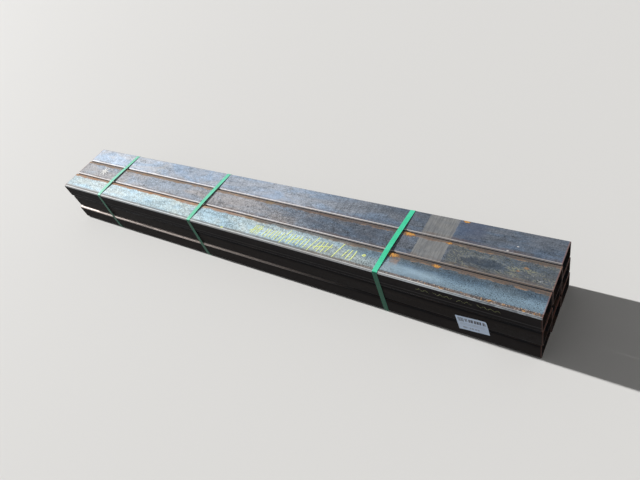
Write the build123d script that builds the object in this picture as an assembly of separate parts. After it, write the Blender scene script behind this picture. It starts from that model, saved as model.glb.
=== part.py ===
from build123d import *
import os
from math import atan2, cos, degrees, radians, sin

# A strapped bundle of rectangular steel tubes, three wide and three high, on a level floor.
# It lies along X, Z is up and its front faces -Y. All sizes are in millimetres.

# One tube
tube_length = 2438.4
tube_width = 101.6
tube_height = 76.2
tube_wall = 4.76
walls_in_outer_corner = 2.0
end_break = 0.6

# The weld's flash, left along the inside of one wall
flash_width = 4.0
flash_height = 1.1
flash_below_middle = 14.0

# The stack. A row's or tube's step is how far it sits back, at its left and its right end.
# A tube's turn about its length puts its weld to the front or to the back.
row_names = ["bottom", "centre", "top"]
column_names = ["front", "middle", "back"]
column_gap = 1.0
centre_row_step = (3.0, 0.3)
low_front_step = (-8.0, 0.5)
end_steps = {
    "bottom": (-1.5, 1.0, 2.0),
    "centre": (2.0, -2.5, 0.5),
    "top": (0.0, 1.5, -1.0),
}
weld_turns = {
    "bottom": (180, 0, 180),
    "centre": (180, 180, 0),
    "top": (0, 0, 180),
}

# The straps. Each one's runs down the front and the back are measured from the left end.
strap_width = 19.05
strap_thickness = 0.9
strap_clearance = 0.1
strap_runs = {"left": (309.5, 312.5), "middle": (967.0, 974.0), "right": (1894.0, 1902.0)}
strap_slack = 4.5
slack_shoulder = 3.6
lap_length = 46.0
lap_ramp = 8.0

# The paper label on the front, near the right end
label_width = 104.0
label_height = 76.0
label_thickness = 0.3
label_corner = 2.0
label_from_right = 215.0
label_above_floor = 82.0
label_tilt = 6.0
label_clearance = 0.1

outer_corner = walls_in_outer_corner * tube_wall
inner_corner = outer_corner - tube_wall
tube_floor = strap_thickness + strap_clearance
column_pitch = tube_width + column_gap
top_of_stack = tube_floor + len(row_names) * tube_height


def tube_step(row, column):
    """How far a tube sits back at its left and right end."""
    if (row, column) == ("bottom", "front"):
        return low_front_step
    if row == "centre":
        return centre_row_step
    return (0.0, 0.0)


def front_of(row, column, x):
    """Y of a tube's front face where it crosses x, measured along the bundle from its middle."""
    left, right = tube_step(row, column)
    share = x / tube_length + 0.5
    return column_names.index(column) * column_pitch + left + (right - left) * share


def bottom_of(row):
    return tube_floor + row_names.index(row) * tube_height


def tube_section():
    """The tube's rolled section in the YZ plane, with the weld's flash inside its front wall."""
    outside = RectangleRounded(tube_width, tube_height, outer_corner)
    inside = RectangleRounded(tube_width - 2 * tube_wall, tube_height - 2 * tube_wall, inner_corner)
    weld = Pos(tube_wall - tube_width / 2, -flash_below_middle)
    flash = weld * Ellipse(flash_height, flash_width / 2)
    return outside - inside + flash


def make_tube():
    """A sawn length of tube, its ends' outer edges broken."""
    tube = extrude(Plane.YZ * tube_section(), tube_length / 2, both=True)
    for end in (tube.faces().sort_by(Axis.X)[0], tube.faces().sort_by(Axis.X)[-1]):
        tube = chamfer(end.outer_wire().edges(), end_break)
    return tube


def place_tube(tube, row, column):
    """Turns a tube by its steps and sets it in its row and column."""
    left, right = tube_step(row, column)
    turn = degrees(atan2(right - left, tube_length))
    along = end_steps[row][column_names.index(column)]
    roll = weld_turns[row][column_names.index(column)]
    across = front_of(row, column, 0) + tube_width / 2
    up = bottom_of(row) + tube_height / 2
    return Pos(along, across, up) * Rot(0, 0, turn) * Rot(roll, 0, 0) * tube


def bend_centres(x):
    """Centres of the tubes' outer bends that a strap at x may go round."""
    centres = []
    for row in row_names:
        front = front_of(row, "front", x) + outer_corner
        back = front_of(row, "back", x) + tube_width - outer_corner
        for side in (front, back):
            centres.append((side, bottom_of(row) + outer_corner))
            centres.append((side, bottom_of(row) + tube_height - outer_corner))
    return centres


def slack_centres():
    """The strap's slack lifts it off the middle of the top: a peak over the front seam, and a shoulder."""
    height = top_of_stack - outer_corner
    seam = front_of("top", "middle", 0)
    return [(seam, height + strap_slack), (seam + tube_width * 2 / 3, height + slack_shoulder)]


def taut_round(points):
    """The corners of the tightest loop round a set of points, anticlockwise."""
    def side(ordered):
        chain = []
        for point in ordered:
            while len(chain) > 1:
                (ay, az), (by, bz) = chain[-2], chain[-1]
                turn = (by - ay) * (point[1] - az) - (bz - az) * (point[0] - ay)
                if turn > 1e-6:
                    break
                chain.pop()
            chain.append(point)
        return chain[:-1]

    ordered = sorted(set(points))
    return side(ordered) + side(ordered[::-1])


def lap_joint(x):
    """The strap's upper end, welded over its lower end on the back of the centre row."""
    face = front_of("centre", "back", x) + tube_width + strap_clearance + strap_thickness
    middle = bottom_of("centre") + tube_height / 2
    low = middle - lap_length / 2
    high = middle + lap_length / 2
    outline = [
        (face - strap_thickness / 2, low),
        (face, low),
        (face + strap_thickness, low + lap_ramp),
        (face + strap_thickness, high),
        (face - strap_thickness / 2, high),
    ]
    return make_face(Polyline(*outline, close=True))


def make_strap(front_x, back_x):
    """A flat strap round the bundle, from its run down the front slantwise to its run down the back."""
    x = (front_x + back_x) / 2
    loop = make_face(Polyline(*taut_round(bend_centres(x) + slack_centres()), close=True))
    inside = offset(loop, outer_corner + strap_clearance, kind=Kind.ARC)
    outside = offset(loop, outer_corner + strap_clearance + strap_thickness, kind=Kind.ARC)
    section = outside - inside + lap_joint(x)
    wide_band = Pos(x, 0, 0) * extrude(Plane.YZ * section, strap_width, both=True)
    stack_width = len(column_names) * column_pitch
    slant = degrees(atan2(back_x - front_x, stack_width))
    slice_of_width = Box(strap_width, 2 * stack_width, 3 * top_of_stack)
    return wide_band & (Pos(x, stack_width / 2, 0) * Rot(0, 0, -slant) * slice_of_width)


def make_label():
    """A paper label across the seam of the two lower tubes."""
    x = tube_length / 2 - label_from_right
    tilt = radians(label_tilt)
    reach = (label_width * cos(tilt) + label_height * sin(tilt)) / 2
    edges = (x - reach, x + reach)
    nearest = min(front_of(row, "front", edge) for row in ("bottom", "centre") for edge in edges)
    outline = Rot(0, 0, label_tilt) * RectangleRounded(label_width, label_height, label_corner)
    sheet = extrude(Plane.XZ * outline, label_thickness)
    return Pos(x, nearest - label_clearance, label_above_floor) * sheet


nodes = {}
tube = make_tube()
for row in row_names:
    for column in column_names:
        nodes[f"tube_{row}_{column}"] = place_tube(tube, row, column)
for place, (front_run, back_run) in strap_runs.items():
    nodes[f"strap_{place}"] = make_strap(front_run - tube_length / 2, back_run - tube_length / 2)
nodes["label"] = make_label()

# The origin is the middle of the bundle's box, on the floor.
box = Compound([solid for node in nodes.values() for solid in node.solids()]).bounding_box()
to_origin = Pos(-box.center().X, -box.center().Y, -box.min.Z)

os.makedirs("parts", exist_ok=True)
for name, solid in nodes.items():
    export_step(to_origin * solid, f"parts/{name}.step")
print("moved to the origin by", to_origin.position)
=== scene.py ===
import bpy
from math import atan2, cos, radians, sin
from types import SimpleNamespace
from mathutils import Euler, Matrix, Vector


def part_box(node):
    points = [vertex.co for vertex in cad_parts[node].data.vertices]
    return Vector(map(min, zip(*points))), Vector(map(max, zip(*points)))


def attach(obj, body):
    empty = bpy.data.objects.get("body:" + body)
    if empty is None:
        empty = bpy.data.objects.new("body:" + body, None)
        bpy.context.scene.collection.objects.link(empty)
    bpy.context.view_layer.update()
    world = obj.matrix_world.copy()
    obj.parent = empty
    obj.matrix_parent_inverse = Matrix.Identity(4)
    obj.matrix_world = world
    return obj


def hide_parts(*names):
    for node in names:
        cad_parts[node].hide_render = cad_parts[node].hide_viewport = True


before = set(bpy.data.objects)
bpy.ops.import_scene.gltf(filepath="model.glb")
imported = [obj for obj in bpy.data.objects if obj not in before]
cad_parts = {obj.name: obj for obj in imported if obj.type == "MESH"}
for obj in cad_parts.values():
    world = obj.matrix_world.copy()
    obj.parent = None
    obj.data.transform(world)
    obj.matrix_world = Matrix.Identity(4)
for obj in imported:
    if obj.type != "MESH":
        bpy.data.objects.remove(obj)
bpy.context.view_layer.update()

# The bundle lies along X with its front to -Y. A place along it is an X, in metres from its middle.
ROWS = ("bottom", "centre", "top")
COLUMNS = ("front", "middle", "back")
STRAPS = ("strap_left", "strap_middle", "strap_right")

# The tube's wall and outer bend, how far the weld lies off the middle, and the tubes turned over,
# whose weld is at the back and above the middle.
WALL = 0.00476
OUTER_BEND = 0.0095
WELD_DROP = 0.014
TURNED_OVER = (
    ("bottom", "front"),
    ("bottom", "back"),
    ("centre", "front"),
    ("centre", "middle"),
    ("top", "back"),
)
# How near a tube's or a strap's end a vertex lies that is measured as part of that end
TUBE_END_REACH = 0.1
STRAP_END_REACH = 0.003
# How high the steel's grain, the strap's emboss and the paper's fibres stand
STEEL_RELIEF = 0.00025
STRAP_RELIEF = 0.00018
PAPER_RELIEF = 0.00005

# The rays that show a thing, straight, mirrored or through a pane. Others only carry its light.
SEEN_RAYS = ("Is Camera Ray", "Is Glossy Ray", "Is Transmission Ray")


def tube_name(row, column):
    return f"tube_{row}_{column}"


class Value:
    """A socket in a finish's node tree. Sums and products of it add Math nodes."""

    def __init__(self, finish, socket):
        self.finish = finish
        self.socket = socket

    def maths(self, operation, *others):
        inputs = dict(enumerate((self,) + others))
        return self.finish.node("ShaderNodeMath", {"operation": operation}, inputs)

    def flipped(self, operation, other):
        return self.finish.node("ShaderNodeMath", {"operation": operation}, {0: other, 1: self})

    def __add__(self, other):
        return self.maths("ADD", other)

    def __radd__(self, other):
        return self.flipped("ADD", other)

    def __sub__(self, other):
        return self.maths("SUBTRACT", other)

    def __rsub__(self, other):
        return self.flipped("SUBTRACT", other)

    def __mul__(self, other):
        return self.maths("MULTIPLY", other)

    def __rmul__(self, other):
        return self.flipped("MULTIPLY", other)

    def __truediv__(self, other):
        return self.maths("DIVIDE", other)

    def __abs__(self):
        return self.maths("ABSOLUTE")

    def at_most(self, other):
        return self.maths("MINIMUM", other)

    def at_least(self, other):
        return self.maths("MAXIMUM", other)

    def rise(self, low, high):
        """0 at low and 1 at high, smooth between. With low above high it falls."""
        settings = {"interpolation_type": "SMOOTHSTEP"}
        return self.finish.node("ShaderNodeMapRange", settings, {0: self, 1: low, 2: high})

    def between(self, low, high, soft):
        """1 between low and high, with soft ends."""
        return self.rise(low - soft, low + soft) * self.rise(high + soft, high - soft)

    def ridges(self):
        """A zigzag of the value: 1 at whole numbers, 0 half-way."""
        return abs(self.maths("FRACT") - 0.5) * 2


class Nodes:
    """A node tree, with one way to add any node."""

    def __init__(self, tree):
        self.tree = tree

    def node(self, kind, settings=None, inputs=None, output=0):
        """Adds a node, makes its settings, fills its sockets and returns one of its outputs."""
        made = self.tree.nodes.new(kind)
        for key, setting in (settings or {}).items():
            setattr(made, key, setting)
        for key, value in (inputs or {}).items():
            if isinstance(value, Value):
                self.tree.links.new(value.socket, made.inputs[key])
            else:
                made.inputs[key].default_value = value
        return Value(self, made.outputs[output])

    def seen(self):
        """1 for the rays that show a thing, and 0 for those that only carry its light."""
        rays = [self.node("ShaderNodeLightPath", None, None, kind) for kind in SEEN_RAYS]
        return (rays[0] + rays[1] + rays[2]).at_most(1.0)


class Finish(Nodes):
    """A material for one piece, in Object coordinates, in metres."""

    def __init__(self, name):
        self.material = bpy.data.materials.new(name)
        self.material.use_nodes = True
        super().__init__(self.material.node_tree)
        self.surface = self.tree.nodes["Principled BSDF"]
        self.coordinates = self.tree.nodes.new("ShaderNodeTexCoord")

    def point(self):
        return Value(self, self.coordinates.outputs["Object"])

    def normal(self):
        return Value(self, self.coordinates.outputs["Normal"])

    def split(self, vector):
        """A vector's X, Y and Z."""
        return [self.node("ShaderNodeSeparateXYZ", None, {0: vector}, part) for part in range(3)]

    def stretched(self, vector, scale, shift=(0, 0, 0)):
        return self.node("ShaderNodeMapping", None, {"Vector": vector, "Scale": scale, "Location": shift})

    def centred(self, middle, turn):
        """Object coordinates as measured from a piece's own middle, along its own turn."""
        placing = {"Vector": self.point(), "Location": middle, "Rotation": turn}
        return self.node("ShaderNodeMapping", {"vector_type": "TEXTURE"}, placing)

    def noise(self, vector, scale, detail=3.0, roughness=0.55, distortion=0.0):
        inputs = {"Vector": vector, "Scale": scale, "Detail": detail, "Roughness": roughness}
        return self.node("ShaderNodeTexNoise", None, {**inputs, "Distortion": distortion})

    def mix(self, share, under, over, blend="MIX"):
        settings = {"data_type": "RGBA", "blend_type": blend}
        colors = [(*c, 1.0) if isinstance(c, tuple) else c for c in (under, over)]
        return self.node("ShaderNodeMix", settings, {0: share, 6: colors[0], 7: colors[1]}, 2)

    def scaled(self, color, amount):
        """A colour times a number."""
        return self.node("ShaderNodeVectorMath", {"operation": "SCALE"}, {0: color, 3: amount})

    def bump(self, height, distance):
        return self.node("ShaderNodeBump", None, {"Height": height, "Distance": distance})

    def wear(self, **sockets):
        """Links or sets sockets of the surface shader, named with _ for a space."""
        for name, value in sockets.items():
            socket = self.surface.inputs[name.replace("_", " ")]
            if isinstance(value, Value):
                self.tree.links.new(value.socket, socket)
            else:
                socket.default_value = (*value, 1.0) if isinstance(value, tuple) else value

    def put_on(self, piece):
        piece.data.materials.clear()
        piece.data.materials.append(self.material)


# Grains of the scale that run along the bundle, with how finely they repeat in a metre of X, Y and Z,
# and grains that are as fine each way. Each has its noise's detail, roughness and distortion.
DRAWN_GRAINS = {
    "clouds": ((2.4, 9, 9), 4, 0.6, 0.3),
    "patches": ((9, 21, 21), 6, 0.62, 0.9),
    "mottle": ((42, 75, 75), 4, 0.6, 0.0),
    "roll_lines": ((2.5, 230, 230), 3, 0.55, 0.0),
    "edge": ((17, 60, 60), 5, 0.65, 0.3),
}
EVEN_GRAINS = {
    "blots": (95, 3, 0.6, 0.5),
    "grain": (210, 3, 0.65, 0.0),
    "fine": (760, 2, 0.6, 0.0),
}
# How much each grain counts in the patches and in the speckles of a tone
PATCH_WEIGHTS = {"clouds": 1.1, "patches": 1.8}
SPECKLE_WEIGHTS = {"mottle": 0.6, "blots": 0.7, "grain": 1.5, "fine": 0.8}
ROLL_LINE_WEIGHTS = {"roll_lines": 0.25}
# How far one row's and one column's grains lie from the next one's
ROW_SHIFT = 3.7
COLUMN_SHIFT = 1.3

# Tones of the top, pale at the left with a painted glare and dark at the right, and where along
# the bundle they change
TOP_TONES = {
    "front": ((0.445, 0.560, 0.605), (0.100, 0.142, 0.185), 0.34, 0.78),
    "middle": ((0.312, 0.328, 0.362), (0.118, 0.143, 0.182), 0.02, 0.42),
    "back": ((0.350, 0.410, 0.500), (0.112, 0.138, 0.178), 0.10, 0.72),
}
COOL_TINT = (0.92, 1.0, 1.07)
WARM_TINT = (1.08, 1.0, 0.93)
# How far patches and speckles darken and lighten the top
TOP_CONTRAST = {"front": (0.75, 1.6), "middle": (0.75, 1.8), "back": (0.70, 1.3)}
# How much paler still the far left is, as a painted glare, where that starts and is full, and
# its colour
LEFT_GLARE = {"front": 0.12, "middle": 0.15, "back": 0.50}
LEFT_GLARE_RUN = (-0.50, -0.80)
PAINTED_GLARE_PALE = (0.600, 0.660, 0.740)
# Tones of the front and back sides, darkened nearly to black as painted shade, how far patches and
# speckles darken and lighten them, and the painted shade that lies over their flats
SIDE_TONES = {
    "top": (0.034, 0.037, 0.044),
    "centre": (0.060, 0.059, 0.060),
    "bottom": (0.027, 0.027, 0.030),
}
SIDE_CONTRAST = (2.0, 2.4)
SIDE_SHADE = (0.012, 0.009, 0.008)
# Tones of the worn bends with their painted highlight, at the left and at the right, and where
# they change
WORN_BEND_HIGHLIGHT_TONES = {
    "front": ((0.440, 0.430, 0.420), (0.620, 0.680, 0.720)),
    "middle": ((0.980, 0.920, 0.900), (0.300, 0.250, 0.220)),
    "back": ((0.980, 0.920, 0.900), (0.480, 0.450, 0.440)),
}
WORN_BEND_HIGHLIGHT_RUN = (0.3, 1.1)
# A tube's places, each from where its colour starts to where it is full: the rim from the tube's
# end, the flat side from the side's own plane, the painted shade from the tube above, the ledge's
# painted highlight along the bundle and the weld's line from its middle
END_RIM = (0.0045, 0.0015)
FLAT_SIDE = (0.0012, 0.0002)
UNDER_SHADE = (0.027, 0.010)
LEDGE_RUN = (0.65, -0.35)
WELD_LINE = (0.0018, 0.0006)
# The shaded strips beside the weld's line
WELD_STRIPS = (0.005, 0.013)
WELD_GREY = (0.400, 0.400, 0.405)
# How far the rust reaches before a tube's back edge, how much further in places, and the faint rust
# behind its front edge
SEAM_REACH = 0.0135
SEAM_WANDER = 0.0075
FAINT_RUST = (0.020, 0.010)
RUST_DARK = (0.060, 0.036, 0.026)
RUST_BROWN = (0.170, 0.105, 0.068)
RUST_ORANGE = (0.740, 0.370, 0.095)
RUST_AMBER = (0.430, 0.205, 0.070)
RUST_OCHRE = (0.300, 0.200, 0.090)
RUST_TAN = (0.400, 0.240, 0.150)
RUST_RED = (0.360, 0.150, 0.110)
RUST_GREY = (0.110, 0.094, 0.084)
SEAM_RUST = {"front": (0.430, 0.240, 0.140), "middle": (0.310, 0.230, 0.175)}
SEAM_FRINGE = (0.450, 0.260, 0.130)
SEAM_SHADE = (0.006, 0.006, 0.007)
BEND_SHADE = (0.010, 0.009, 0.009)
BORE_SHADE = (0.016, 0.017, 0.020)
SAWN_BROWN = (0.090, 0.058, 0.048)
SAWN_BRIGHT = (0.205, 0.165, 0.150)
# The painted highlight on the bottom front tube's ledge
LEDGE_HIGHLIGHT_PINK = (0.950, 0.820, 0.750)

# Orange rust spots on the top, at places in the bundle's plan, with their radius
RUST_SPOTS = (
    (0.718, 0.0400, 0.012),
    (0.706, -0.0640, 0.012),
    (0.867, 0.0390, 0.006),
    (0.864, -0.0655, 0.008),
    (0.889, 0.1480, 0.007),
)
OCHRE_STAINS = ((0.078, 0.0430, 0.016), (0.040, -0.0580, 0.012))
# A spot's half-length and half-width, in its radius
SPOT_LENGTH = 1.6
SPOT_WIDTH = 0.75

# The print that a timber left across the top of the middle and back tubes
TIMBER_PRINT = (0.757, 0.866)
TIMBER_GREY = (0.310, 0.310, 0.304)
TIMBER_DARK = (0.180, 0.182, 0.182)

# The front tube's top. A run lies along the bundle, and a band lies behind the front face.
SHEEN_RUN = (0.62, 0.76)
SHEEN_MIDDLE = 0.034
SHEEN_PALE = (0.450, 0.600, 0.710)
SHEEN_DEEP = (0.290, 0.420, 0.525)
SCUFF_RUN = (0.0, 0.40)
SCUFF_BROWN = (0.125, 0.120, 0.095)
DULLED_RUN = (-0.55, -1.05)
DULLED_GREY = (0.360, 0.340, 0.325)
STAIN_RUN = (0.705, 0.735)
PITTED_RUN = (0.76, 0.98)
PIT_SHADE = (0.040, 0.050, 0.060)
FOLD_BAND = (0.0070, 0.0158)
FOLD_SHADE = (0.165, 0.150, 0.140)
LIP_BAND = (0.0040, 0.0152)
FLECK_BAND = (0.0050, 0.0170)
FLECK_PALE = (0.600, 0.500, 0.430)
SPECK_BAND = (0.0060, 0.0160)
GLINT_BAND = (0.0010, 0.0068)
GLINT_RUN = (0.690, 0.890)
GLINT_WHITE = (0.780, 0.760, 0.740)

# The middle tube's top: dark smears, a darker right end, and dried paste there that swirls round a
# bare patch, with lumps, rust and scuffs on it
SMEAR_RUN = (0.09, 0.66)
SMEAR_SHADE = (0.045, 0.055, 0.075)
DARKER_RUN = (0.865, 0.885)
DARKER_SHADE = (0.070, 0.078, 0.074)
PASTE_RUN = (0.86, 0.90)
PASTE_TAN = (0.270, 0.270, 0.205)
BARE_PATCH = (
    (0.945, -0.0110, 0.013),
    (0.975, -0.0080, 0.020),
    (1.010, -0.0080, 0.023),
    (1.042, -0.0110, 0.018),
)
BARE_BLUE = (0.042, 0.058, 0.084)
WIPED_GREY = (0.230, 0.255, 0.275)
PASTE_LUMPS = ((1.096, -0.0040, 0.013), (1.122, 0.0040, 0.013), (1.150, 0.0040, 0.008))
LUMP_OLIVE = (0.320, 0.310, 0.185)
PASTE_RUST = ((1.127, 0.0095, 0.005), (1.108, -0.0080, 0.003))
PASTE_SCUFFS = ((1.178, -0.0270, 0.006), (1.152, -0.0130, 0.003))
SCUFF_PALE = (0.460, 0.480, 0.490)

# The back tube's top: white chips, a warm pale place, a violet stain and dark bars across
CHIPS = (
    (1.053, 0.0620, 0.0026),
    (1.078, 0.0860, 0.0022),
)
CHIP_WHITE = (0.72, 0.70, 0.68)
WARM_RUN = (-0.705, -0.650)
WARM_PALE = (0.66, 0.60, 0.52)
VIOLET_RUN = (0.868, 0.965)
VIOLET = (0.060, 0.078, 0.150)
BAR_RUN = (0.36, 0.66)
BAR_SHADE = (0.070, 0.085, 0.105)


def tube_facts(tube):
    """A tube's middle, its turn about Z, and half its length, width and height, from its mesh."""
    points = [vertex.co for vertex in tube.data.vertices]
    low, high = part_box(tube.name)
    ends = []
    for end in (low.x, high.x):
        across = [point.y for point in points if abs(point.x - end) < TUBE_END_REACH]
        ends.append(((min(across) + max(across)) / 2, (max(across) - min(across)) / 2))
    (left, half_width), (right, _) = ends
    turn = atan2(right - left, high.x - low.x)
    middle = Vector(((low.x + high.x) / 2, (left + right) / 2, (low.z + high.z) / 2))
    return middle, turn, ((high.x - low.x) / 2, half_width, (high.z - low.z) / 2)


def tube_places(finish, tube):
    """Masks for the places on a tube: its faces, bends, bore and sawn ends, and its own coordinates."""
    middle, turn, (half_length, half_width, half_height) = tube_facts(tube)
    at = SimpleNamespace(half_height=half_height)
    at.x, at.y, at.z = finish.split(finish.centred(middle, Euler((0, 0, turn))))
    facing_x, facing_y, facing_z = finish.split(finish.normal())
    facing_front = (facing_y * -1).rise(0.25, 0.40)
    facing_back = facing_y.rise(0.25, 0.40)

    # The outside begins half-way into the wall
    bore_y = abs(at.y).rise(half_width - 0.6 * WALL, half_width - 0.4 * WALL)
    bore_z = abs(at.z).rise(half_height - 0.6 * WALL, half_height - 0.4 * WALL)
    at.outside = bore_y.at_least(bore_z)
    at.sawn = abs(facing_x).rise(0.90, 0.97)
    at.upward = facing_z.rise(0.35, 0.75) * at.outside
    at.upright = abs(facing_y).rise(0.6, 0.9) * at.outside

    # The bends, by how steeply they face. The front rim, which carries a painted highlight,
    # reaches further down to the right.
    slanting = facing_z.between(0.55, 0.90, 0.05) * at.outside
    at.front_bend = slanting * facing_front
    at.back_bend = slanting * facing_back
    lowest = 0.50 - at.x * 0.24
    rim = facing_z.rise(lowest - 0.08, lowest + 0.08) * facing_z.rise(0.96, 0.84)
    at.front_rim = rim * facing_front * at.outside
    at.low_bend = (facing_z * -1).between(0.15, 0.90, 0.12) * at.outside
    at.end_rim = (half_length - abs(at.x)).rise(*END_RIM) * at.outside
    at.from_front = at.y + half_width
    at.from_back = half_width - at.y

    # The flats of the front and back sides, clear of the bends, where painted shade lies
    in_side = (half_width - abs(at.y)).rise(*FLAT_SIDE)
    off_bends = abs(at.z).rise(half_height - OUTER_BEND * 0.75, half_height - OUTER_BEND)
    at.flat_side = in_side * off_bends
    return at


def steel_grains(finish, shift):
    """The scale's noises, from broad clouds to fine grain, by name. shift moves them all."""
    point = finish.stretched(finish.point(), (1, 1, 1), (shift, shift * 2, shift * 3))
    grains = SimpleNamespace(point=point)
    for name, (stretch, *noise) in DRAWN_GRAINS.items():
        setattr(grains, name, finish.noise(finish.stretched(point, stretch), 1.0, *noise))
    for name, (scale, *noise) in EVEN_GRAINS.items():
        setattr(grains, name, finish.noise(point, scale, *noise))
    return grains


def weighed(grains, weights):
    """A sum of grains, each less its mean and times its weight."""
    return sum((getattr(grains, name) - 0.5) * weight for name, weight in weights.items())


def uneven(grains, patchy, speckled):
    """A factor round 1 that darkens and lightens a tone by patches and by speckles."""
    patches = weighed(grains, PATCH_WEIGHTS) * patchy
    speckles = weighed(grains, SPECKLE_WEIGHTS) * speckled
    return (1 + patches + speckles + weighed(grains, ROLL_LINE_WEIGHTS)).at_least(0.2)


def scale_tone(finish, at, grains, row, column):
    """The scale's tone: nearly black sides, darkened as painted shade, with brown streaks, and a paler,
    bluer exposed top.
    """
    # The sides' near-black tone is painted shade
    color = finish.scaled(SIDE_TONES[row], uneven(grains, *SIDE_CONTRAST))
    # The centre row's sides are painted lighter towards the left end, as glare
    if row == "centre":
        color = finish.scaled(color, 1 + at.x.rise(0.0, -0.8) * 0.45)
    streaks = finish.noise(finish.stretched(grains.point, (3.0, 3.0, 95)), 1.0, 5, 0.6)
    color = finish.mix(streaks.rise(0.50, 0.75) * at.upright * 0.26, color, RUST_BROWN)
    if row == "top":
        # The pale tone at the left holds a painted glare of the low light
        pale, dark, fall_start, fall_end = TOP_TONES[column]
        drift = at.x + (grains.clouds - 0.5) * 0.9 + (grains.patches - 0.5) * 0.35
        tone = finish.mix(drift.rise(fall_start, fall_end), pale, dark)
        stained = finish.noise(finish.stretched(grains.point, (5, 16, 16)), 1.0, 4, 0.6, 0.6)
        tint = finish.mix(stained.rise(0.36, 0.64), COOL_TINT, WARM_TINT)
        # The far left painted paler still, as glare
        tone = finish.mix(at.x.rise(*LEFT_GLARE_RUN) * LEFT_GLARE[column], tone, PAINTED_GLARE_PALE)
        tone = finish.mix(1.0, tone, tint, "MULTIPLY")
        color = finish.mix(at.upward, color, finish.scaled(tone, uneven(grains, *TOP_CONTRAST[column])))
    return color


def timber_print(finish, at, grains, color):
    """The grey print of a timber across a tube, with its saw lines. Also gives where it is."""
    saw_lines = finish.noise(finish.stretched(grains.point, (170, 16, 16)), 1.0, 5, 0.7)
    printed = (at.x + (grains.edge - 0.5) * 0.010).between(*TIMBER_PRINT, 0.0022) * at.upward
    timber = finish.mix(saw_lines.rise(0.30, 0.70), TIMBER_DARK, TIMBER_GREY)
    share = printed * (0.66 + grains.patches.rise(0.35, 0.6) * 0.28)
    return finish.mix(share, color, timber), printed


def front_top(finish, at, grains, color, rust):
    """On the front tube: a blue sheen at the right, brown scuffs, a dull left end and a rust run."""
    x = at.x
    sheen = abs(at.from_front - SHEEN_MIDDLE + (grains.clouds - 0.5) * 0.03).rise(0.036, 0.004)
    sheen = sheen * x.rise(*SHEEN_RUN) * at.upward
    sheen = sheen * (0.62 + grains.patches.rise(0.35, 0.65) * 0.38)
    sky = finish.mix(x.rise(0.84, 0.96), SHEEN_PALE, SHEEN_DEEP)
    color = finish.mix(sheen * (0.62 + x.rise(0.80, 0.95) * 0.26), color, sky)

    scuffs = (abs(at.y) + (grains.clouds - 0.5) * 0.05).rise(0.012, 0.045) * x.rise(*SCUFF_RUN)
    scuffs = scuffs * (1 - x.rise(0.35, 0.60) * at.from_front.rise(0.032, 0.016))
    scuffs = scuffs * grains.patches.rise(0.35, 0.60) * at.upward
    color = finish.mix(scuffs * 0.70, color, SCUFF_BROWN)

    dulled = at.from_front.rise(0.028, 0.016) * x.rise(*DULLED_RUN) * at.upward
    color = finish.mix(dulled * 0.60, color, DULLED_GREY)
    stain = x.between(*STAIN_RUN, 0.008) * at.from_back.rise(0.075, 0.030) * at.upward
    color = finish.mix(stain * grains.mottle.rise(0.38, 0.58) * 0.55, color, RUST_TAN)
    return front_edge(finish, at, grains, color, rust)


def front_edge(finish, at, grains, color, rust):
    """Along the front tube's top edge: a dark fold, pits, a rusty lip, flecks, specks and a glint."""
    x = at.x
    fold = at.from_front.between(*FOLD_BAND, 0.0018) * at.upward
    fold = fold * (0.45 + grains.edge.rise(0.30, 0.60) * 0.30) * (1 - x.rise(0.45, 0.75) * 0.5)
    color = finish.mix(fold, color, FOLD_SHADE)

    pits = finish.noise(grains.point, 300, 3, 0.6)
    pitted = pits.rise(0.54, 0.40) * (0.30 + grains.blots.rise(0.35, 0.60) * 0.6)
    pitted = pitted * x.rise(*PITTED_RUN) * at.from_front.rise(0.006, 0.012) * at.upward
    color = finish.mix(pitted * 0.85, color, PIT_SHADE)

    lip_color = finish.mix(grains.mottle.rise(0.35, 0.65), RUST_DARK, RUST_BROWN)
    lip = at.from_front.between(*LIP_BAND, 0.002) * at.upward
    lip = lip * (0.15 + x.rise(0.2, 0.9) * 0.52) * grains.edge.rise(0.15, 0.45)
    color = finish.mix(lip, color, lip_color)

    flecks = grains.grain.rise(0.54, 0.64) * at.from_front.between(*FLECK_BAND, 0.003)
    flecks = flecks * x.rise(0.2, 0.8) * at.upward
    color = finish.mix(flecks * (0.55 + x.rise(0.75, 0.95) * 0.25), color, FLECK_PALE)
    specks = finish.noise(grains.point, 120, 3, 0.6).rise(0.60, 0.66)
    specks = specks * at.from_front.between(*SPECK_BAND, 0.002) * x.rise(0.70, 0.85) * at.upward
    color = finish.mix(specks * 0.8, color, RUST_ORANGE)

    bright = (0.45 * x.rise(0.80, 0.60) + 0.75 * x.between(*GLINT_RUN, 0.04)).at_most(0.75)
    glint = at.from_front.between(*GLINT_BAND, 0.0012) * at.outside * bright
    color = finish.mix(glint, color, GLINT_WHITE)
    return color, rust.at_least(specks).at_least(lip * 0.6)


def middle_top(finish, at, grains, color, rust):
    """On the middle tube: dark smears, a darker right end, and the dried paste there."""
    smears = grains.patches.rise(0.49, 0.58) * at.x.between(*SMEAR_RUN, 0.1) * at.upward
    color = finish.mix(smears * 0.36, color, SMEAR_SHADE)
    color = finish.mix(at.x.rise(*DARKER_RUN) * at.upward * 0.42, color, DARKER_SHADE)
    return dried_paste(finish, at, grains, color), rust


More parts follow.
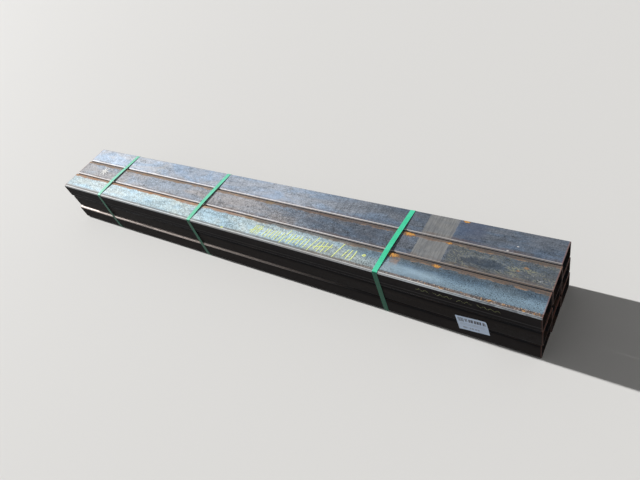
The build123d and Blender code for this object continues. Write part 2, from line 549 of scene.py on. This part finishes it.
def dried_paste(finish, at, grains, color):
    """Tan paste in thin broken swirls round a bare patch, with lumps, rust and pale scuffs."""
    currents = finish.noise(finish.stretched(grains.point, (6, 15, 15)), 1.0, 3, 0.5, 2.0)
    swirl = (currents * 12.0 + grains.blots * 1.3 + grains.grain * 0.7).ridges().rise(0.48, 1.0)
    swirl = swirl * at.x.rise(*PASTE_RUN) * grains.patches.rise(0.34, 0.56) * at.upward
    swirl = swirl * (0.40 + grains.grain.rise(0.36, 0.60) * 0.60)

    from_bare = from_spots(finish, grains, BARE_PATCH, 1.6)
    bare = from_bare.rise(1.35, 0.55) * at.upward
    wiped = from_bare.between(1.5, 2.2, 0.35) * at.y.rise(-0.014, 0.002) * at.upward
    color = finish.mix(bare * 0.55, color, BARE_BLUE)
    color = finish.mix(wiped * 0.45, color, WIPED_GREY)
    color = finish.mix(swirl * (1 - bare * 0.75) * 0.85, color, PASTE_TAN)

    lumps = from_spots(finish, grains, PASTE_LUMPS, 3.4).rise(1.8, 0.4) * at.upward
    color = finish.mix(lumps * grains.grain.rise(0.46, 0.58) * 0.60, color, LUMP_OLIVE)
    lump_rust = from_spots(finish, grains, PASTE_RUST, 3.0).rise(1.8, 0.6) * at.upward
    color = finish.mix(lump_rust * 0.50, color, RUST_AMBER)
    scuffs = from_spots(finish, grains, PASTE_SCUFFS, 3.6).rise(1.8, 0.6) * at.upward
    return finish.mix(scuffs * grains.grain.rise(0.50, 0.58) * 0.60, color, SCUFF_PALE)


def back_top(finish, at, grains, color, rust):
    """On the back tube: white chips, a warm pale place, a violet stain and dark bars across."""
    x = at.x
    chips = from_spots(finish, grains, CHIPS, 2.0).rise(1.1, 0.8) * at.upward
    color = finish.mix(chips * 0.9, color, CHIP_WHITE)
    warm = x.between(*WARM_RUN, 0.02) * grains.mottle.rise(0.35, 0.6) * at.upward
    color = finish.mix(warm * 0.25, color, WARM_PALE)
    violet = x.between(*VIOLET_RUN, 0.02) * (0.5 + grains.clouds.rise(0.35, 0.65) * 0.5)
    color = finish.mix(violet * 0.40 * at.upward, color, VIOLET)
    bars = finish.noise(finish.stretched(grains.point, (75, 5, 5)), 1.0, 3).rise(0.50, 0.66)
    bars = bars * x.between(*BAR_RUN, 0.06) * at.upward
    return finish.mix(bars * 0.35, color, BAR_SHADE), rust


TOP_MARKS = {"front": front_top, "middle": middle_top, "back": back_top}


def rust_at_seams(finish, at, grains, column, color, rust):
    """Rust beside the seams on the top: strong before a tube's back edge, faint behind its front."""
    leftward = at.x.rise(0.45, -0.55)
    wander = grains.edge.rise(0.32, 0.68)
    if column != "back":
        reach = SEAM_REACH + wander * SEAM_WANDER
        beside = (at.from_back / reach).rise(1.15, 0.80) * at.upward.at_least(at.back_bend)
        tan = finish.mix(grains.mottle.rise(0.48, 0.72) * 0.35, SEAM_RUST[column], RUST_ORANGE)
        brown = finish.mix(grains.grain.rise(0.40, 0.65), RUST_GREY, RUST_BROWN)
        brown = finish.mix(grains.roll_lines.rise(0.52, 0.68) * 0.6, brown, RUST_TAN)
        rusty = finish.mix((leftward * 1.2 + (grains.patches - 0.5) * 1.2).rise(0.15, 0.75), brown, tan)
        strength = beside * (0.62 + leftward * 0.20 + wander * 0.18)
        color = finish.mix(strength, color, rusty)
        rust = rust.at_least(strength)
        fringe = (at.from_back / reach).between(0.92, 1.10, 0.05) * at.upward
        fringe = fringe * grains.mottle.rise(0.42, 0.62) * (0.55 - leftward * 0.25)
        color = finish.mix(fringe, color, SEAM_FRINGE)
    if column != "front":
        behind = at.from_front.rise(*FAINT_RUST) * at.upward
        strength = behind * wander * 0.45
        color = finish.mix(strength, color, RUST_BROWN)
        rust = rust.at_least(strength * 0.7)
    return color, rust


def from_spots(finish, grains, spots, ragged):
    """How far a point is from the nearest of some ragged spots: 0 at its middle, 1 at its edge."""
    x, y, _ = finish.split(finish.point())
    nearest = None
    for spot_x, spot_y, radius in spots:
        far_x = (x - spot_x) / (radius * SPOT_LENGTH)
        far_y = (y - spot_y) / (radius * SPOT_WIDTH)
        far = far_x * far_x + far_y * far_y
        nearest = far if nearest is None else nearest.at_most(far)
    return nearest + (grains.grain - 0.5) * ragged + (grains.blots - 0.5) * ragged


def rust_spots(finish, at, grains, color, rust):
    """Orange spots with a brown edge, and two faint ochre stains."""
    far = from_spots(finish, grains, RUST_SPOTS, 4.2)
    stain = from_spots(finish, grains, OCHRE_STAINS, 1.6).rise(1.6, 0.2) * at.upward
    color = finish.mix(stain * 0.55, color, RUST_OCHRE)
    spot = far.rise(2.2, 1.0) * at.upward
    core = far.rise(1.5, 0.0) * at.upward
    orange = finish.mix(grains.grain.rise(0.42, 0.64), RUST_ORANGE, RUST_AMBER)
    color = finish.mix(spot * 0.80, color, RUST_BROWN)
    color = finish.mix(core * 0.95, color, orange)
    return color, rust.at_least(spot)


def worn_bend_highlight(at, grains, column):
    """How worn a top tube's front bend is, with a painted highlight on it: less, and in broken patches,
    at the front one's right end.
    """
    worn = at.front_rim if column == "front" else at.front_bend
    worn = worn * (0.82 + grains.edge.rise(0.32, 0.68) * 0.18)
    if column == "front":
        broken = 0.32 + grains.mottle.rise(0.40, 0.60) * 0.38
        worn = worn * (1 - at.x.rise(0.85, 1.10) * broken)
    return worn


def weld_marks(finish, at, row, column, color):
    """The weld's scarfed line, shaded beside it. Also gives where the line is."""
    side = 1 if (row, column) in TURNED_OVER else -1
    from_weld = abs(at.z - WELD_DROP * side)
    face = at.upright * (at.y * side).rise(0, 0.01)
    line = from_weld.rise(*WELD_LINE) * face
    strips = from_weld.between(*WELD_STRIPS, 0.002) * face
    color = finish.mix(strips * 0.45, color, SEAM_SHADE)
    return finish.mix(line * 0.12, color, WELD_GREY), line


def bore_and_ends(finish, at, grains, color):
    """A dark bore, a reddish rim, and brown sawn ends with saw marks."""
    bore = finish.mix(grains.patches.rise(0.40, 0.65), BORE_SHADE, RUST_DARK)
    color = finish.mix(1 - at.outside, color, bore)
    saw_marks = finish.noise(finish.stretched(grains.point, (1, 60, 900)), 1.0, 2)
    sawn = finish.mix(saw_marks.rise(0.42, 0.66) * 0.7, SAWN_BROWN, SAWN_BRIGHT)
    color = finish.mix(at.end_rim * (0.12 + at.upward * 0.33), color, RUST_RED)
    return finish.mix(at.sawn, color, sawn)


def steel(tube, row, column):
    """Blue-grey mill scale on a tube: patches, roll lines, rust at the seams, worn bends with a painted
    highlight, sawn ends.
    """
    finish = Finish(f"mill_scale_{row}_{column}")
    at = tube_places(finish, tube)
    grains = steel_grains(finish, ROW_SHIFT * ROWS.index(row) + COLUMN_SHIFT * COLUMNS.index(column))
    color = scale_tone(finish, at, grains, row, column)
    rough = 0.58 + (grains.patches - 0.5) * 0.35 + (grains.grain - 0.5) * 0.25 + at.upright * 0.20
    metal = 0.05 + at.upward * 0.10

    # Rust in broad thin blooms
    rust = grains.patches.rise(0.52, 0.70) * grains.grain.rise(0.40, 0.62) * 0.35
    color = finish.mix(rust * 0.8, color, RUST_BROWN)

    if row == "top":
        if column != "front":
            color, printed = timber_print(finish, at, grains, color)
            rust = rust * (1 - printed * 0.6)
            rough = rough + printed * 0.12
            metal = metal - printed * 0.15
        color, rust = TOP_MARKS[column](finish, at, grains, color, rust)
        color, rust = rust_at_seams(finish, at, grains, column, color, rust)
        color, rust = rust_spots(finish, at, grains, color, rust)
        # The front bend's wear and its painted highlight
        worn = worn_bend_highlight(at, grains, column)
        rough = rough - worn * 0.15
        color = finish.mix(worn, color, finish.mix(at.x.rise(*WORN_BEND_HIGHLIGHT_RUN), *WORN_BEND_HIGHLIGHT_TONES[column]))
    else:
        # The shade under the tube above, darkest to the right
        shaded = (at.half_height - at.z).rise(*UNDER_SHADE) * at.outside
        shaded = shaded * (0.30 + at.x.rise(-1.0, 0.2) * 0.62)
        color = finish.mix(shaded, color, SEAM_SHADE)
    if (row, column) == ("bottom", "front"):
        # A painted highlight, pale pink, on the ledge where this tube stands proud
        ledge = at.upward.at_least(at.front_bend) * at.x.rise(*LEDGE_RUN)
        color = finish.mix(ledge * (0.70 + grains.mottle * 0.5), color, LEDGE_HIGHLIGHT_PINK)
    color = finish.mix(at.low_bend * 0.45, color, BEND_SHADE)
    # Painted shade, near black, over the flats of the front and back sides and in the gaps between
    # columns
    color = finish.mix(at.flat_side * 0.85, color, SIDE_SHADE)
    color, weld_line = weld_marks(finish, at, row, column, color)
    color = bore_and_ends(finish, at, grains, color)

    height = grains.grain * 0.5 + grains.fine * 0.3 + grains.roll_lines * 0.2 + rust * grains.grain
    finish.wear(
        Base_Color=color,
        Roughness=(rough + rust * 0.25).at_most(0.95).at_least(0.30),
        Metallic=(metal - rust * 0.15).at_least(0.0),
        Specular_IOR_Level=0.08,
        Normal=finish.bump(height + weld_line * 1.2, STEEL_RELIEF),
    )
    finish.put_on(tube)


STRAP_GREEN = (0.002, 0.550, 0.265)
STRAP_LIGHT = (0.080, 0.760, 0.500)
# The pale of a painted glare on the strap's top
STRAP_GLARE_PALE = (0.800, 0.900, 0.920)
STRAP_EMBOSS = 0.0018


def strap_line(strap):
    """Where a strap's middle is at Y = 0, how far it slants per metre of Y, and half its width."""
    low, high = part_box(strap.name)
    middles = []
    for side in (low.y, high.y):
        along = [v.co.x for v in strap.data.vertices if abs(v.co.y - side) < STRAP_END_REACH]
        middles.append((min(along) + max(along)) / 2)
        half_width = (max(along) - min(along)) / 2
    slant = (middles[1] - middles[0]) / (high.y - low.y)
    return (middles[0] + middles[1]) / 2 - slant * (low.y + high.y) / 2, slant, half_width


def strapping(strap):
    """Green strap: a small diamond emboss, lengthwise drawing lines and paler rubbed edges."""
    finish = Finish(f"{strap.name}_plastic")
    middle, slant, half_width = strap_line(strap)
    x, y, z = finish.split(finish.point())
    facing_z = finish.split(finish.normal())[2]
    flat = abs(facing_z).rise(0.68, 0.72)
    along = y * flat + z * (1 - flat)
    across = x - middle - y * slant
    diamonds = ((along + across) / STRAP_EMBOSS).ridges() + ((along - across) / STRAP_EMBOSS).ridges()
    diamonds = diamonds * 0.5
    drawn = finish.noise(finish.stretched(finish.point(), (900, 6, 6)), 1.0, 2)
    dull = finish.noise(finish.point(), 14, 4)
    crinkle = finish.noise(finish.point(), 120, 3)
    rubbed = abs(across).rise(half_width * 0.80, half_width * 0.98)
    light = dull.rise(0.38, 0.66) * 0.40 + rubbed * 0.35 + crinkle.rise(0.5, 0.7) * 0.20
    color = finish.mix(light, STRAP_GREEN, STRAP_LIGHT)
    color = finish.mix(diamonds.rise(0.60, 0.95) * 0.15, color, STRAP_LIGHT)

    # Painted shade darkens it down the sides, and a painted glare pales the top, most at the left
    color = finish.scaled(color, 0.18 + flat * 0.92)
    color = finish.mix(flat * (0.05 + x.rise(1.0, -1.4) * 0.26), color, STRAP_GLARE_PALE)
    finish.wear(
        Base_Color=color,
        Roughness=0.36 + dull * 0.22,
        Specular_IOR_Level=0.25,
        Normal=finish.bump(diamonds * 0.8 + drawn * 0.4 + crinkle * 0.5, STRAP_RELIEF),
    )
    finish.put_on(strap)


PAINT_YELLOW = (0.780, 0.860, 0.270)
CHALK_WHITE = (0.880, 0.870, 0.830)
FAINT_OLIVE = (0.170, 0.185, 0.065)
PAINT_THICKNESS = 0.00012
# A line's middle stands this far off the steel
PAINT_LIFT = PAINT_THICKNESS * 0.3
LINE_END_TAPER = 0.75


def broken_paint(name, color, scale, cover):
    """Paint or chalk that misses the low spots of rough steel. cover is the share that took."""
    finish = Finish(name)
    gaps = finish.noise(finish.point(), scale, 3, 0.6)
    fine = finish.noise(finish.point(), scale * 3, 2)
    low = 0.66 - 0.32 * cover
    took = (gaps * 0.7 + fine * 0.3).rise(low - 0.04, low + 0.04)
    finish.wear(Base_Color=color, Roughness=0.65, Alpha=took)
    return finish


def brush_line(points, width):
    """A brush or marker line through points in plan: a smooth curve, made a mesh and pressed flat."""
    curve = bpy.data.curves.new("brush_line", "CURVE")
    curve.dimensions = "3D"
    curve.bevel_depth = width / 2
    curve.bevel_resolution = 1
    curve.resolution_u = 6
    curve.use_fill_caps = True
    spline = curve.splines.new("NURBS")
    spline.points.add(len(points) - 1)
    for index, (spot, (x, y)) in enumerate(zip(spline.points, points)):
        spot.co = (x, y, 0, 1)
        spot.radius = LINE_END_TAPER if index in (0, len(points) - 1) else 1.0
    spline.order_u = 3
    spline.use_endpoint_u = True
    piece = bpy.data.objects.new("brush_line", curve)
    bpy.context.scene.collection.objects.link(piece)
    bpy.ops.object.select_all(action="DESELECT")
    piece.select_set(True)
    bpy.context.view_layer.objects.active = piece
    bpy.ops.object.convert(target="MESH")
    piece = bpy.context.object
    for vertex in piece.data.vertices:
        vertex.co.z *= PAINT_THICKNESS / width
    return piece


def painted(name, lines, width, place, finish, upright=False):
    """Joins lines into one mark and puts it on a top or, upright, on a front face."""
    pieces = [brush_line(points, width) for points in lines]
    bpy.ops.object.select_all(action="DESELECT")
    for piece in pieces:
        piece.select_set(True)
    bpy.context.view_layer.objects.active = pieces[0]
    bpy.ops.object.join()
    mark = bpy.context.object
    mark.name = name
    mark.data.name = name
    mark.location = place
    if upright:
        mark.rotation_euler.x = radians(90)
    bpy.ops.object.transform_apply(location=True, rotation=True, scale=True)
    finish.put_on(mark)
    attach(mark, "root")


# Tally strokes: where each starts along the bundle, and whether a bar crosses the group. A stroke
# runs from near to far behind the front face and leans to the right, a little unlike the next one.
TALLY_GROUPS = (
    ((0.093, 0.104, 0.115, 0.126), True),
    ((0.156, 0.172, 0.188, 0.204, 0.220, 0.236), False),
    ((0.276, 0.292, 0.308, 0.324), True),
    ((0.344, 0.360), False),
    ((0.406, 0.423, 0.440, 0.457), True),
    ((0.530, 0.548, 0.566), False),
)
TALLY_NEAR = 0.022
TALLY_FAR = 0.068
TALLY_LEAN = 0.010
TALLY_WOBBLE = 0.003
TALLY_BOW = 0.0025
TALLY_WIDTH = 0.0050
# A group's bar: how far it starts before the first stroke and ends after the last one, and how far
# its start, its middle and its end lie inside the strokes' near and far ends
BAR_BEFORE = 0.008
BAR_AFTER = 0.018
BAR_START = 0.012
BAR_MIDDLE = 0.026
BAR_END = 0.014
# Long slashes between the groups, and the last mark, a small ring
TALLY_SLASHES = (0.250, 0.382, 0.494)
SLASH_NEAR = 0.013
SLASH_MIDDLE = 0.046
SLASH_FAR = 0.082
SLASH_LEAN = 0.020
TALLY_RING = ((0.600, 0.052), (0.607, 0.061), (0.614, 0.055), (0.607, 0.050), (0.602, 0.054))
DAB_LINES = (((-0.060, 0.010), (-0.054, 0.013), (-0.047, 0.011)), ((-0.055, 0.007), (-0.052, 0.016)))
DAB_WIDTH = 0.0060
PAINT_GAPS = 420
PAINT_COVER = 0.85


def tally():
    """Yellow marks on the top front tube: counted strokes, barred fives, long slashes and a dab."""
    low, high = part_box(tube_name("top", "front"))
    lines = []
    for group, (starts, barred) in enumerate(TALLY_GROUPS):
        for index, start in enumerate(starts):
            wobble = TALLY_WOBBLE * sin(204 * start + index)
            near = TALLY_NEAR + wobble
            far = TALLY_FAR - 0.5 * wobble - 0.004 * (group % 2)
            bow = TALLY_BOW * cos(210 * start)
            middle = (start + 0.6 * TALLY_LEAN + bow, (near + far) / 2)
            lines.append(((start, near), middle, (start + TALLY_LEAN + wobble, far)))
        if barred:
            first = (starts[0] - BAR_BEFORE, TALLY_NEAR + BAR_START)
            last = (starts[-1] + BAR_AFTER, TALLY_FAR - BAR_END)
            middle = ((first[0] + last[0]) / 2, TALLY_NEAR + BAR_MIDDLE)
            lines.append((first, middle, last))
    for start in TALLY_SLASHES:
        middle = (start + 0.4 * SLASH_LEAN, SLASH_MIDDLE)
        lines.append(((start, SLASH_NEAR), middle, (start + SLASH_LEAN, SLASH_FAR)))
    lines.append(TALLY_RING)
    place = (0, low.y, high.z + PAINT_LIFT)
    yellow = broken_paint("yellow_paint_marker", PAINT_YELLOW, PAINT_GAPS, PAINT_COVER)
    painted("tally_marks", lines, TALLY_WIDTH, place, yellow)
    dab_yellow = broken_paint("yellow_dab_paint", PAINT_YELLOW, PAINT_GAPS, PAINT_COVER)
    painted("yellow_dab", DAB_LINES, DAB_WIDTH, place, dab_yellow)


# The chalk star: its place along the bundle, how far it lies behind the tube's middle, and each
# stroke's angle in degrees and half-length
CHALK_PLACE = -1.035
CHALK_BEHIND = 0.002
CHALK_STROKES = ((8, 0.026), (62, 0.028), (118, 0.027), (160, 0.020))
CHALK_BOW = 0.10
CHALK_WIDTH = 0.0070


def chalk_star():
    """A few crossed chalk strokes on the top middle tube, near the left end."""
    low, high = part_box(tube_name("top", "middle"))
    centre = Vector((CHALK_PLACE, (low.y + high.y) / 2 + CHALK_BEHIND))
    lines = []
    for angle, half in CHALK_STROKES:
        reach = Vector((cos(radians(angle)), sin(radians(angle)))) * half
        bow = Vector((-reach.y, reach.x)) * CHALK_BOW
        lines.append((centre - reach, centre + bow, centre + reach))
    white = broken_paint("white_chalk", CHALK_WHITE, 380, 0.88)
    painted("chalk_star", lines, CHALK_WIDTH, (0, 0, high.z + PAINT_LIFT), white)


# The scrawl's wavy lines, from start to end along the bundle, their height and their waves
SCRAWL_LINES = ((0.822, 0.870), (0.884, 0.948), (0.962, 1.012), (1.028, 1.100))
SCRAWL_HEIGHT = 0.200
SCRAWL_WAVE = 0.009
SCRAWL_STEP = 0.008
SCRAWL_WIDTH = 0.0028


def front_scrawl():
    """A faint worn scrawl on the front of the top front tube: wavy lines that say nothing."""
    low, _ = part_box(tube_name("top", "front"))
    lines = []
    for start, end in SCRAWL_LINES:
        count = round((end - start) / SCRAWL_STEP)
        wave = []
        for index in range(count + 1):
            height = SCRAWL_WAVE * sin(2.4 * index + start * 50)
            wave.append((start + (end - start) * index / count, SCRAWL_HEIGHT + height))
        lines.append(wave)
    olive = broken_paint("faint_scrawl", FAINT_OLIVE, 330, 0.55)
    painted("front_scrawl", lines, SCRAWL_WIDTH, (0, low.y - PAINT_LIFT, 0), olive, upright=True)


# The paper's white, tinted blue as painted sky light
LABEL_WHITE = (0.690, 0.815, 0.990)
LABEL_GREY = (0.330, 0.370, 0.440)
LABEL_INK = (0.045, 0.050, 0.070)
LABEL_DUST = (0.360, 0.340, 0.305)
LABEL_SIZE = (0.104, 0.076)
LABEL_CORNER = 0.0022
LABEL_TILT = radians(6.0)
LABEL_THICKNESS = 0.00014
# How far the sheet's back lies in front of the solid label's back, how many squares it has along and
# up, and how far it ripples
LABEL_SEAT = 0.00025
LABEL_GRID = (52, 38)
LABEL_RIPPLE = 0.00018
# The curl at two opposite corners: the side, how far along the diagonal it starts, and how steep it is
LABEL_CURL = 0.0022
CURLED_CORNERS = ((1, 0.72, 3.5), (-1, 0.80, 3.0))
# Printed areas, from the label's middle: their reach along it, and up it
HEADING = ((-0.022, 0.046), (0.0110, 0.0275))
CODE = ((-0.046, -0.026), (0.0080, 0.0300))
RULES = ((-0.044, 0.040), (-0.012, 0.004))
FOOTING = ((-0.036, 0.020), (-0.028, -0.019))
RULE_PITCH = 0.0075


def paper_print(label, middle):
    """White label paper, tinted blue as painted sky light, with plain printed bars: a dark heading of
    blocks, random cells, pale rules.
    """
    finish = Finish("label_paper")
    x, _, z = finish.split(finish.centred(middle, Euler((0, -LABEL_TILT, 0))))

    def area(place, soft=0.0004):
        along, up = place
        return z.between(*up, soft) * x.between(*along, soft)

    blocks = finish.noise(finish.stretched(finish.point(), (150, 0, 0)), 1.0, 1).rise(0.45, 0.48)
    cells = finish.noise(finish.stretched(finish.point(), (420, 0, 420)), 1.0, 1).rise(0.44, 0.47)
    heading = area(HEADING) * blocks
    code = area(CODE) * cells
    rules = (z / RULE_PITCH).ridges().rise(0.55, 0.75) * area(RULES, 0.0005)
    footing = area(FOOTING) * blocks
    fibres = finish.noise(finish.point(), 900, 3)
    smudge = finish.noise(finish.point(), 45, 4)
    color = finish.mix(smudge.rise(0.48, 0.75) * 0.22, LABEL_WHITE, LABEL_DUST)
    color = finish.mix(rules * 0.42, color, LABEL_GREY)
    color = finish.mix(footing * 0.70, color, LABEL_GREY)
    color = finish.mix(heading.at_least(code * 0.85) * 0.95, color, LABEL_INK)
    finish.wear(Base_Color=color, Roughness=0.50, Normal=finish.bump(fibres, PAPER_RELIEF))
    finish.put_on(label)


def paper_label():
    """The label as a thin sheet: rounded corners, a slight ripple, and two corners that curl off."""
    low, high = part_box("label")
    middle = (low + high) / 2
    width, height = LABEL_SIZE
    bpy.ops.object.select_all(action="DESELECT")
    bpy.ops.mesh.primitive_grid_add(x_subdivisions=LABEL_GRID[0], y_subdivisions=LABEL_GRID[1], size=1)
    label = bpy.context.object
    label.name = "label_sheet"
    label.data.name = "label_sheet"
    bpy.ops.object.mode_set(mode="EDIT")
    bpy.ops.transform.resize(value=(width, height, 1))
    bpy.ops.object.mode_set(mode="OBJECT")
    straight_x = width / 2 - LABEL_CORNER
    straight_y = height / 2 - LABEL_CORNER
    for vertex in label.data.vertices:
        x, y, _ = vertex.co
        past = Vector((abs(x) - straight_x, abs(y) - straight_y))
        if past.x > 0 and past.y > 0 and past.length > LABEL_CORNER:
            past = past.normalized() * LABEL_CORNER
            vertex.co.x = (straight_x + past.x) * (1 if x > 0 else -1)
            vertex.co.y = (straight_y + past.y) * (1 if y > 0 else -1)
        diagonal = x / width + y / height
        lifted = sum(max(0.0, side * diagonal - start) * steep for side, start, steep in CURLED_CORNERS)
        ripple = LABEL_RIPPLE * sin(x * 95 + y * 40) * cos(y * 70)
        vertex.co.z = ripple + LABEL_CURL * lifted * lifted
    solid = label.modifiers.new("paper", "SOLIDIFY")
    solid.thickness = LABEL_THICKNESS
    solid.offset = 1
    bpy.ops.object.modifier_apply(modifier=solid.name)
    bpy.ops.object.shade_smooth_by_angle(angle=radians(40))
    upright = Euler((0, -LABEL_TILT, 0)).to_matrix() @ Euler((radians(90), 0, 0)).to_matrix()
    label.rotation_euler = upright.to_euler()
    label.location = (middle.x, high.y - LABEL_SEAT, middle.z)
    bpy.ops.object.transform_apply(location=True, rotation=True, scale=True)
    paper_print(label, middle)
    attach(label, "root")
    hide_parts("label")


# Camera, fitted to the photograph's corners and seams
CAMERA_PLACE = (1.4507, -1.0096, 1.5738)
CAMERA_RIGHT = Vector((0.8164, 0.5014, -0.2865))
CAMERA_AHEAD = Vector((-0.5378, 0.4796, -0.6934))
CAMERA_LENS = 29.32
CAMERA_NEAR = 0.01
SENSOR_WIDTH = 36.0


def set_camera():
    data = bpy.data.cameras.new("camera")
    data.sensor_fit = "HORIZONTAL"
    data.sensor_width = SENSOR_WIDTH
    data.lens = CAMERA_LENS
    data.clip_start = CAMERA_NEAR
    camera = bpy.data.objects.new("camera", data)
    bpy.context.scene.collection.objects.link(camera)
    back = -CAMERA_AHEAD.normalized()
    right = (CAMERA_RIGHT - back * CAMERA_RIGHT.dot(back)).normalized()
    up = back.cross(right)
    turn = camera.matrix_world.to_3x3()
    for axis in range(3):
        turn[axis] = (right[axis], up[axis], back[axis])
    camera.matrix_world = turn.to_4x4()
    camera.location = CAMERA_PLACE
    bpy.context.scene.camera = camera


# Light: a soft low key from beyond the left end, as in the photograph, and even white surroundings
KEY_FROM = Vector((-0.899, 0.004, 0.438))
KEY_STRENGTH = 5.4
KEY_ANGLE = 1.0
WORLD_FILL = 0.18
WORLD_SEEN = 1.0
FLOOR_SIZE = 60
FLOOR_SEEN = (0.74, 0.73, 0.71)
FLOOR_BOUNCE = (0.44, 0.46, 0.49)


def set_key():
    data = bpy.data.lights.new("key", "SUN")
    data.energy = KEY_STRENGTH
    data.angle = radians(KEY_ANGLE)
    lamp = bpy.data.objects.new("key", data)
    lamp.rotation_euler = KEY_FROM.to_track_quat("Z", "Y").to_euler()
    bpy.context.scene.collection.objects.link(lamp)


def set_world():
    """Plain white surroundings: dimmer as light than as what the camera sees."""
    world = bpy.data.worlds.new("studio")
    world.use_nodes = True
    bpy.context.scene.world = world
    background = world.node_tree.nodes["Background"]
    background.inputs["Color"].default_value = (1, 1, 1, 1)
    strength = WORLD_FILL + Nodes(world.node_tree).seen() * (WORLD_SEEN - WORLD_FILL)
    world.node_tree.links.new(strength.socket, background.inputs["Strength"])


def set_floor():
    """A plain pale floor that throws a little less light back than it shows."""
    bpy.ops.object.select_all(action="DESELECT")
    bpy.ops.mesh.primitive_plane_add(size=FLOOR_SIZE)
    floor = bpy.context.object
    floor.name = "studio_floor"
    finish = Finish("studio_floor")
    finish.wear(Base_Color=finish.mix(finish.seen(), FLOOR_BOUNCE, FLOOR_SEEN), Roughness=0.9)
    finish.put_on(floor)


set_camera()
for row in ROWS:
    for column in COLUMNS:
        steel(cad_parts[tube_name(row, column)], row, column)
for name in STRAPS:
    strapping(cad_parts[name])
paper_label()
tally()
chalk_star()
front_scrawl()
set_floor()
set_world()
set_key()

bpy.context.scene.view_settings.view_transform = "Standard"
